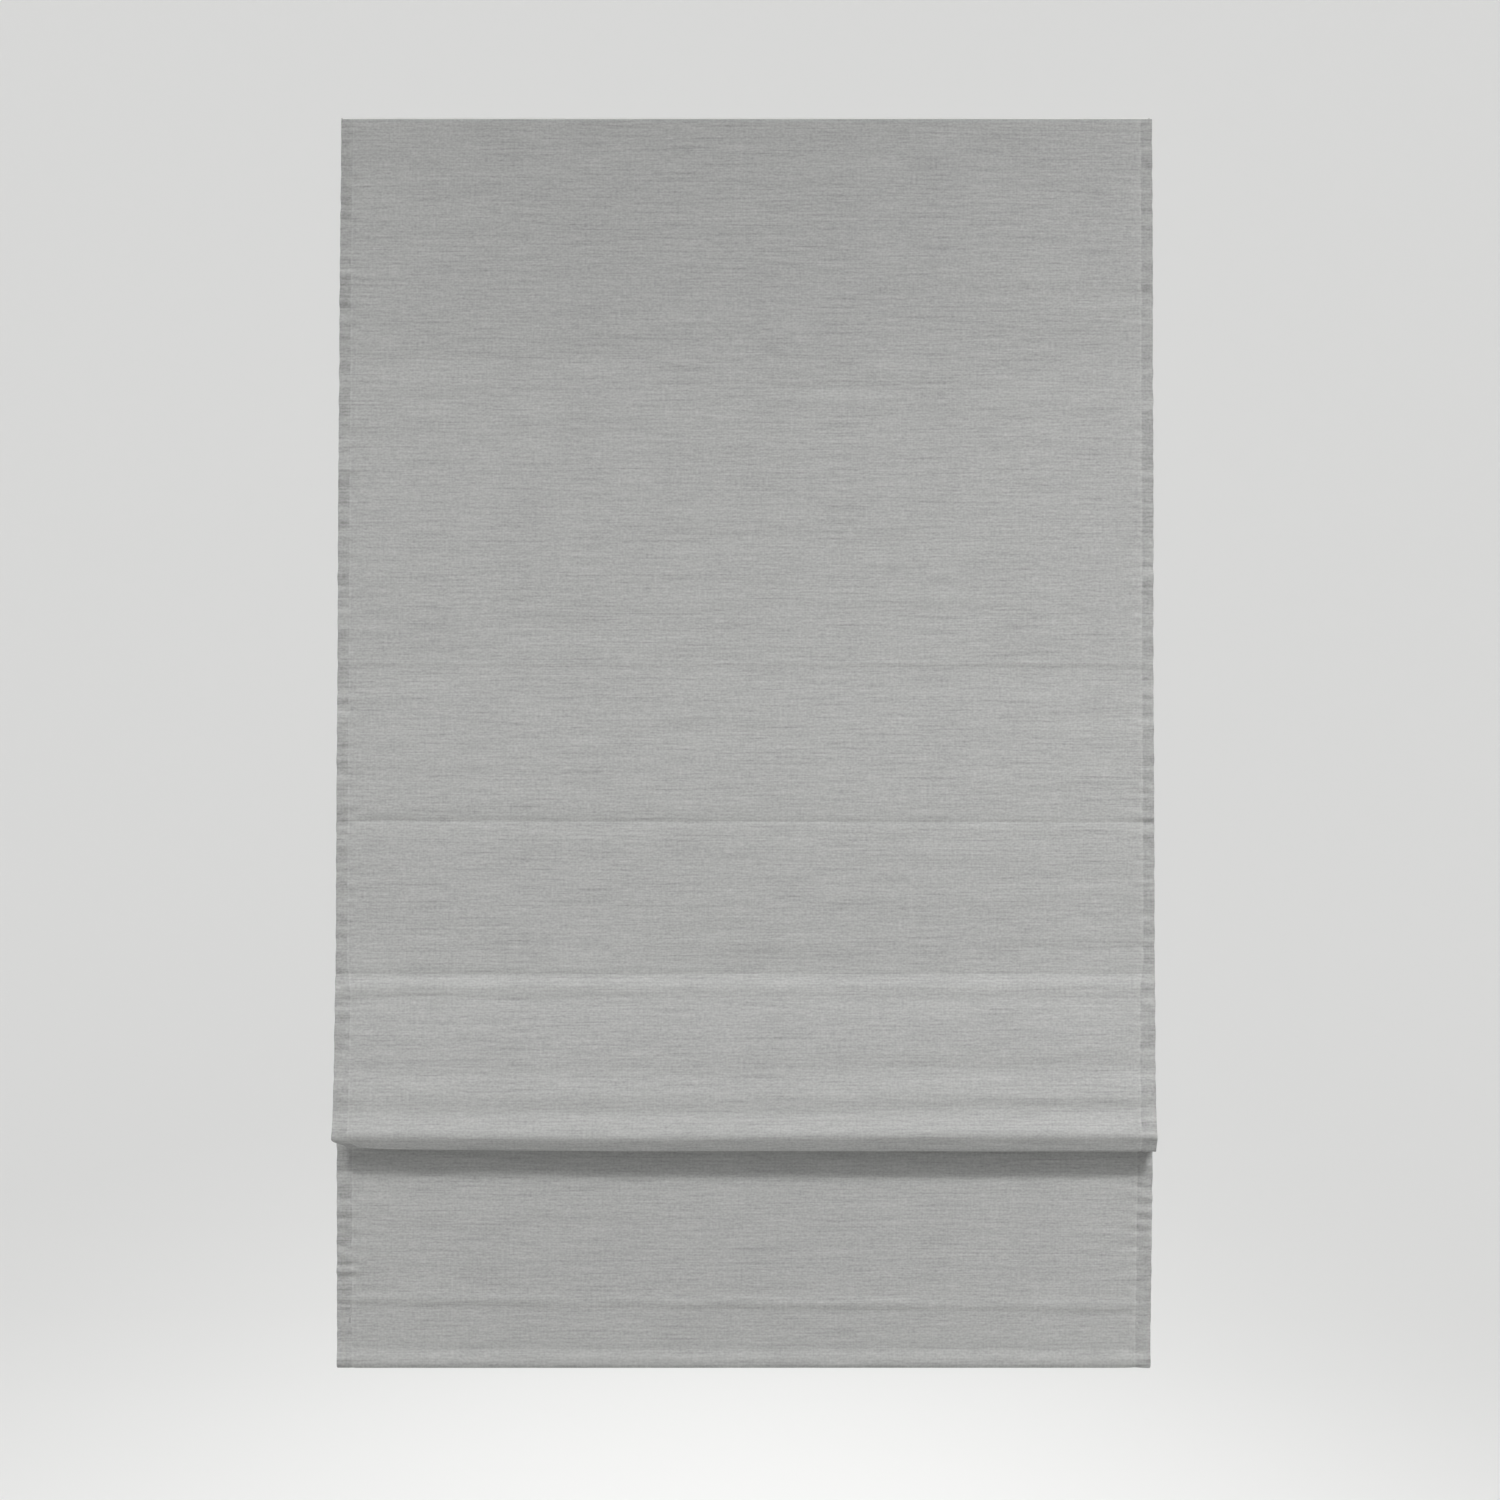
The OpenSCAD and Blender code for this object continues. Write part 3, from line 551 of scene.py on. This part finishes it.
def cloth_finish():
    """The woven cloth: thick and thin threads both ways, with painted shade on the doubled side hems and their puckers,
    and a painted highlight line where the hems end.
    """
    found = bpy.data.materials.get("cloth_weave")
    if found:
        return found
    f = bpy.context.scene.blind_finish
    made, tree, shader, node = new_finish("cloth_weave")
    uv = node("ShaderNodeUVMap", uv_map="cloth").outputs["UV"]
    xy = node("ShaderNodeSeparateXYZ", {0: uv})
    u, v = xy.outputs["X"], xy.outputs["Y"]

    def threads(scale_u, scale_v, detail, seed):
        at = node("ShaderNodeMapping", {"Vector": uv, "Location": (seed, 2 * seed, 0), "Scale": (scale_u, scale_v, 1)})
        return node(
            "ShaderNodeTexNoise", {"Vector": at.outputs[0], "Scale": 1.0, "Detail": detail, "Roughness": 0.55},
            noise_dimensions="2D",
        ).outputs["Fac"]

    def between(value, low, high):
        return node(
            "ShaderNodeMapRange", {"Value": value, "From Min": low, "From Max": high}, clamp=True,
            interpolation_type="SMOOTHSTEP",
        ).outputs[0]

    def shade(tone, value, weight, middle=0.5):
        return math_of(node, "ADD", tone, math_of(node, "MULTIPLY", math_of(node, "SUBTRACT", value, middle), weight))

    # Weft threads of three lengths, fine warp threads, and a slow change of tone
    long_weft = threads(18, 430, 1.0, 1.7)
    weft = threads(90, 450, 1.0, 5.1)
    short_weft = threads(330, 500, 0.0, 7.9)
    warp = threads(640, 60, 1.0, 9.3)
    tone = shade(1.0, long_weft, f.weave)
    tone = shade(tone, weft, f.weave)
    tone = shade(tone, short_weft, f.weave)
    tone = shade(tone, warp, 0.5 * f.weave)
    tone = shade(tone, threads(14, 18, 2.0, 3.3), 0.05)
    tone = shade(tone, threads(6, 110, 1.0, 6.7), 0.07)
    tone = shade(tone, between(threads(11, 380, 0.0, 2.3), 0.64, 0.80), -f.slub, 0.0)
    # The doubled side hems: painted shade that makes them darker than the rest, mottled with painted shade of their
    # puckers, a painted highlight line where they end, and all wider from the fold down
    wide = between(v, f.hem_widens, f.hem_widens + 0.04)
    inner = math_of(node, "SUBTRACT", math_of(node, "ABSOLUTE", u), CLOTH_WIDTH / 2)
    inner = math_of(node, "ADD", inner, math_of(node, "MULTIPLY", wide, HEM_WIDER))
    # Painted shade: the doubled side hems are darker than the rest of the cloth
    hem_shade = between(inner, *HEM_SHADE_STRIP)
    tone = shade(tone, hem_shade, -0.08, 0.0)
    # Painted shade of the puckers, mottled along the side hems
    pucker_shade = math_of(node, "SUBTRACT", threads(20, 80, 2.0, 4.4), 0.5)
    tone = shade(tone, math_of(node, "MULTIPLY", pucker_shade, hem_shade), 0.55, 0.0)
    # Painted highlight: a pale line just inside where the side hems end
    tone = shade(tone, between(inner, *HEM_HIGHLIGHT_STARTS), 0.05, 0.0)
    tone = shade(tone, between(inner, *HEM_HIGHLIGHT_STOPS), -0.05, 0.0)
    grey = node("ShaderNodeCombineColor", {0: tone, 1: tone, 2: tone})
    tint = node(
        "ShaderNodeMix", {0: 1.0, 6: (*f.cloth, 1), 7: grey.outputs[0]}, data_type="RGBA", blend_type="MULTIPLY"
    )
    tree.links.new(tint.outputs[2], shader.inputs["Base Color"])
    height = math_of(node, "ADD", math_of(node, "ADD", long_weft, weft), math_of(node, "MULTIPLY", warp, 0.6))
    bump = node("ShaderNodeBump", {"Height": height, "Strength": 0.2, "Distance": 0.0004})
    tree.links.new(bump.outputs[0], shader.inputs["Normal"])
    shader.inputs["Roughness"].default_value = 0.92
    shader.inputs["Specular IOR Level"].default_value = 0.12
    shader.inputs["Sheen Weight"].default_value = 0.08
    shader.inputs["Sheen Roughness"].default_value = 0.6
    return made


def grained_finish(name, tint, rough, metallic=0.0, grain=(400, 400, 400), depth=0.00005, spread=0.06):
    """A smooth finish with a fine grain in its colour, gloss and surface."""
    made, tree, shader, node = new_finish(name)
    place = node("ShaderNodeTexCoord").outputs["Object"]
    at = node("ShaderNodeMapping", {"Vector": place, "Scale": grain})
    noise = node("ShaderNodeTexNoise", {"Vector": at.outputs[0], "Scale": 1.0, "Detail": 3.0}).outputs["Fac"]
    low = tuple(c * (1 - spread) for c in tint)
    high = tuple(min(1, c * (1 + spread)) for c in tint)
    tree.links.new(mixed_colour(node, noise, low, high), shader.inputs["Base Color"])
    gloss = node(
        "ShaderNodeMapRange", {"Value": noise, "To Min": max(0.05, rough - 0.08), "To Max": min(1, rough + 0.08)}
    )
    tree.links.new(gloss.outputs[0], shader.inputs["Roughness"])
    bump = node("ShaderNodeBump", {"Height": noise, "Strength": 0.3, "Distance": depth})
    tree.links.new(bump.outputs[0], shader.inputs["Normal"])
    shader.inputs["Metallic"].default_value = metallic
    return made


def tape_finish(tint):
    """A narrow woven tape: ribs across it and fine threads along it."""
    made, tree, shader, node = new_finish("tape_weave")
    place = node("ShaderNodeTexCoord").outputs["Object"]
    ribs = node(
        "ShaderNodeTexWave", {"Vector": place, "Scale": 250.0, "Distortion": 0.6, "Detail": 1.0}, bands_direction="X"
    ).outputs["Fac"]
    at = node("ShaderNodeMapping", {"Vector": place, "Scale": (60, 900, 900)})
    noise = node("ShaderNodeTexNoise", {"Vector": at.outputs[0], "Scale": 1.0, "Detail": 2.0}).outputs["Fac"]
    height = math_of(node, "ADD", ribs, noise)
    # Painted shade: the tape is darker where its ribs and threads lie low
    shaded = [0.84 * c for c in tint]
    mixed = mixed_colour(node, math_of(node, "MULTIPLY", height, 0.5), shaded, tint)
    tree.links.new(mixed, shader.inputs["Base Color"])
    bump = node("ShaderNodeBump", {"Height": height, "Strength": 0.4, "Distance": 0.0003})
    tree.links.new(bump.outputs[0], shader.inputs["Normal"])
    shader.inputs["Roughness"].default_value = 0.9
    shader.inputs["Specular IOR Level"].default_value = 0.15
    return made


def dress(slot, made):
    """Gives the parts of one finish their material."""
    for name in FINISH_OF[slot]:
        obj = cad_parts[name]
        if not obj.material_slots:
            obj.data.materials.append(made)
        for each in obj.material_slots:
            each.material = made


# Operators

class BLIND_OT_flat_sections(bpy.types.Operator):
    """Hangs the three flat lengths of cloth between the headrail and the ribs"""
    bl_idname = "blind.flat_sections"
    bl_label = "Hang the flat cloth"

    def execute(self, context):
        s = context.scene.blind_cloth
        line = HangingLine(s)
        lengths = (
            ("top_cloth", "fabric_top_section", "headrail_set", "top_fold", "top", "rib_1", CLOTH_TOP),
            ("second_cloth", "fabric_second_section", "first_rib", "second_fold", "rib_1", "rib_2", RIB_Z[0]),
            ("third_cloth", "fabric_third_section", "second_rib", "third_fold", "rib_2", "rib_3", RIB_Z[1]),
        )
        for name, node, body, joint, start, stop, anchor in lengths:
            obj = hang(line, s, name, line.mark[start], line.mark[stop])
            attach(obj, body)
            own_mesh(obj)
            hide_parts(node)
        return {"FINISHED"}


class BLIND_OT_fold(bpy.types.Operator):
    """Throws the cloth below the third rib forward into one fold"""
    bl_idname = "blind.fold"
    bl_label = "Make the fold"

    def execute(self, context):
        s = context.scene.blind_cloth
        line = HangingLine(s)
        mark = line.mark
        front = hang(line, s, "fold_front", mark["rib_3"], mark["bottom"])
        back = hang(line, s, "fold_back", mark["bottom"], mark["leg_top"])
        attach(front, "third_rib")
        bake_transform(back)
        for obj, start, stop in ((front, "rib_3", "bottom"), (back, "bottom", "leg_top")):
            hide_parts("fabric_fold")
        return {"FINISHED"}


class BLIND_OT_bottom_panel(bpy.types.Operator):
    """Hangs the bottom panel from the lowest rib, with its hem round the bar"""
    bl_idname = "blind.bottom_panel"
    bl_label = "Hang the bottom panel"

    def execute(self, context):
        s = context.scene.blind_cloth
        line = HangingLine(s)
        obj = hang(line, s, "bottom_panel", line.mark["leg_top"], line.run[-1])
        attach(obj, "lowest_rib")
        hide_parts("fabric_bottom_panel")
        return {"FINISHED"}


class BLIND_OT_headrail(bpy.types.Operator):
    """Finishes the headrail, its caps, its clips and the bottom bar"""
    bl_idname = "blind.headrail"
    bl_label = "Finish the rails"

    def execute(self, context):
        f = context.scene.blind_finish
        dress("rail", grained_finish("coated_rail", f.rail, 0.42, grain=(1500, 1500, 1500), depth=0.00003, spread=0.02))
        dress("cap", grained_finish("cap_plastic", f.cap, 0.5, grain=(900, 900, 900), spread=0.03))
        dress("bracket", grained_finish("plated_clip", f.bracket, 0.34, 1.0, grain=(60, 1800, 1800), spread=0.08))
        dress("bar", grained_finish("painted_bar", f.bar, 0.45, grain=(1200, 1200, 1200), spread=0.03))
        return {"FINISHED"}


class BLIND_OT_lift(bpy.types.Operator):
    """Finishes the shaft, the spools, the spring motor and the ribs"""
    bl_idname = "blind.lift"
    bl_label = "Finish the lift parts"

    def execute(self, context):
        f = context.scene.blind_finish
        dress("moulding", grained_finish("moulded_plastic", f.moulding, 0.48, grain=(700, 700, 700), spread=0.03))
        dress("ring", grained_finish("ring_plastic", f.ring, 0.28, grain=(500, 500, 500), spread=0.02))
        dress("rod", grained_finish("drawn_rod", f.rod, 0.4, grain=(12, 1800, 1800), spread=0.05))
        dress("shaft", grained_finish("drawn_shaft", f.shaft, 0.32, 1.0, grain=(8, 2200, 2200), spread=0.08))
        dress("spring", grained_finish("tempered_band", f.spring, 0.3, 1.0, grain=(1500, 90, 90), spread=0.12))
        dress("tape", tape_finish(f.tape))
        return {"FINISHED"}


class BLIND_OT_stage(bpy.types.Operator):
    """Sets up the paper sweep, the soft lights and the camera"""
    bl_idname = "blind.stage"
    bl_label = "Set the stage"

    def execute(self, context):
        t = context.scene.blind_stage
        scene = context.scene
        scene.view_settings.view_transform = "Standard"
        self.sweep(t)
        self.light("key_right", (3.04, -4.8, 5.1), (1.22, CLOTH_Y, -0.88), (1.9, 4.5), 18.6, 17)
        self.light("key_left", (-3.04, -4.8, 5.1), (-1.16, CLOTH_Y, -0.88), (1.9, 4.5), 14.5, 17)
        self.light("front", (0.32, -4.8, 5.1), (0.08, CLOTH_Y, -0.64), (1.9, 0.5), 1.1, 9)
        self.light("rear", (-1.6, 3.2, 0.8), (0.0, CLOTH_Y, -0.7), (2.0, 2.0), 38, 180)
        self.world(scene)
        bpy.ops.object.camera_add(
            location=(t.camera_x, CLOTH_Y - t.camera_away, t.camera_z), rotation=(pi / 2, 0, 0)
        )
        camera = context.object
        camera.name = "photo_camera"
        camera.data.sensor_width = 36
        camera.data.lens = 36 * t.camera_away / t.frame_width
        camera.data.clip_end = 60
        scene.camera = camera
        return {"FINISHED"}

    def sweep(self, t):
        """A floor that curves up into a backdrop."""
        bpy.ops.object.select_all(action="DESELECT")
        bpy.ops.mesh.primitive_grid_add(x_subdivisions=1, y_subdivisions=40, size=2)
        obj = bpy.context.object
        obj.name = "paper_sweep"
        mesh = obj.data
        y0, y1, r, top, half_width = -9.0, 5.5, 2.2, 6.0, 9
        flat, bend = y1 - r - y0, r * pi / 2
        whole = flat + bend + top - r
        for point in mesh.vertices:
            run = (point.co.y + 1) / 2 * whole
            a = min(max(run - flat, 0) / r, pi / 2)
            y = y0 + min(run, flat) + r * np.sin(a)
            z = t.floor_z + r * (1 - np.cos(a)) + max(run - flat - bend, 0)
            point.co = (half_width * point.co.x, y, z)
        mesh.update()
        select_only(obj)
        bpy.ops.object.shade_smooth()
        made, tree, shader, node = new_finish("paper")
        place = node("ShaderNodeTexCoord").outputs["Object"]
        noise = node("ShaderNodeTexNoise", {"Vector": place, "Scale": 3.0, "Detail": 2.0}).outputs["Fac"]
        mixed = mixed_colour(node, noise, [0.985 * c for c in t.paper], t.paper)
        tree.links.new(mixed, shader.inputs["Base Color"])
        shader.inputs["Roughness"].default_value = 0.95
        # The paper shows pale to the camera and in reflections, and still takes the object's shadow
        pale = node("ShaderNodeEmission", {"Color": (0.80, 0.80, 0.79, 1), "Strength": 1.0})
        share_seen = math_of(node, "MULTIPLY", seen_directly(node), 0.7)
        both = node("ShaderNodeMixShader", {0: share_seen, 1: shader.outputs[0], 2: pale.outputs[0]})
        tree.links.new(both.outputs[0], tree.nodes["Material Output"].inputs["Surface"])
        mesh.materials.clear()
        mesh.materials.append(made)
        return obj

    def light(self, name, place, aim, size, power, spread):
        bpy.ops.object.light_add(type="AREA", location=place)
        lamp = bpy.context.object
        lamp.name = name
        lamp.data.shape = "ELLIPSE"
        lamp.data.size, lamp.data.size_y = size
        lamp.data.energy = power
        lamp.data.spread = radians(spread)
        lamp.rotation_euler = (Vector(aim) - Vector(place)).to_track_quat("-Z", "Y").to_euler()

    def world(self, scene):
        world = bpy.data.worlds.new("soft_world")
        scene.world = world
        world.use_nodes = True
        tree = world.node_tree
        ground = tree.nodes["Background"]
        ground.inputs["Color"].default_value = (0.92, 0.93, 0.94, 1)
        ground.inputs["Strength"].default_value = 0.51
        node = node_maker(tree)
        shown = node("ShaderNodeBackground", {"Color": (0.83, 0.83, 0.82, 1)})
        both = node("ShaderNodeMixShader", {0: seen_directly(node), 1: ground.outputs[0], 2: shown.outputs[0]})
        tree.links.new(both.outputs[0], tree.nodes["World Output"].inputs["Surface"])


class BLIND_PT_tools(bpy.types.Panel):
    bl_idname = "BLIND_PT_tools"
    bl_label = "Roman blind"
    bl_space_type = "VIEW_3D"
    bl_region_type = "UI"
    bl_category = "Blind"

    def draw(self, context):
        for one in OPERATORS:
            self.layout.operator(one.bl_idname)
        for group in (context.scene.blind_cloth, context.scene.blind_finish, context.scene.blind_stage):
            for name in group.__annotations__:
                self.layout.prop(group, name)


SETTINGS = (("blind_cloth", ClothSettings), ("blind_finish", FinishSettings), ("blind_stage", StageSettings))
OPERATORS = (
    BLIND_OT_flat_sections, BLIND_OT_fold, BLIND_OT_bottom_panel, BLIND_OT_headrail, BLIND_OT_lift, BLIND_OT_stage,
)


def register():
    for name, group in SETTINGS:
        bpy.utils.register_class(group)
        setattr(bpy.types.Scene, name, bpy.props.PointerProperty(type=group))
    for one in OPERATORS + (BLIND_PT_tools,):
        bpy.utils.register_class(one)


def unregister():
    for one in (BLIND_PT_tools,) + OPERATORS[::-1]:
        bpy.utils.unregister_class(one)
    for name, group in SETTINGS[::-1]:
        delattr(bpy.types.Scene, name)
        bpy.utils.unregister_class(group)


def main():
    register()
    bpy.ops.blind.flat_sections()
    bpy.ops.blind.fold()
    bpy.ops.blind.bottom_panel()
    bpy.ops.blind.headrail()
    bpy.ops.blind.lift()
    bpy.ops.blind.stage()


if __name__ == "__main__":
    main()
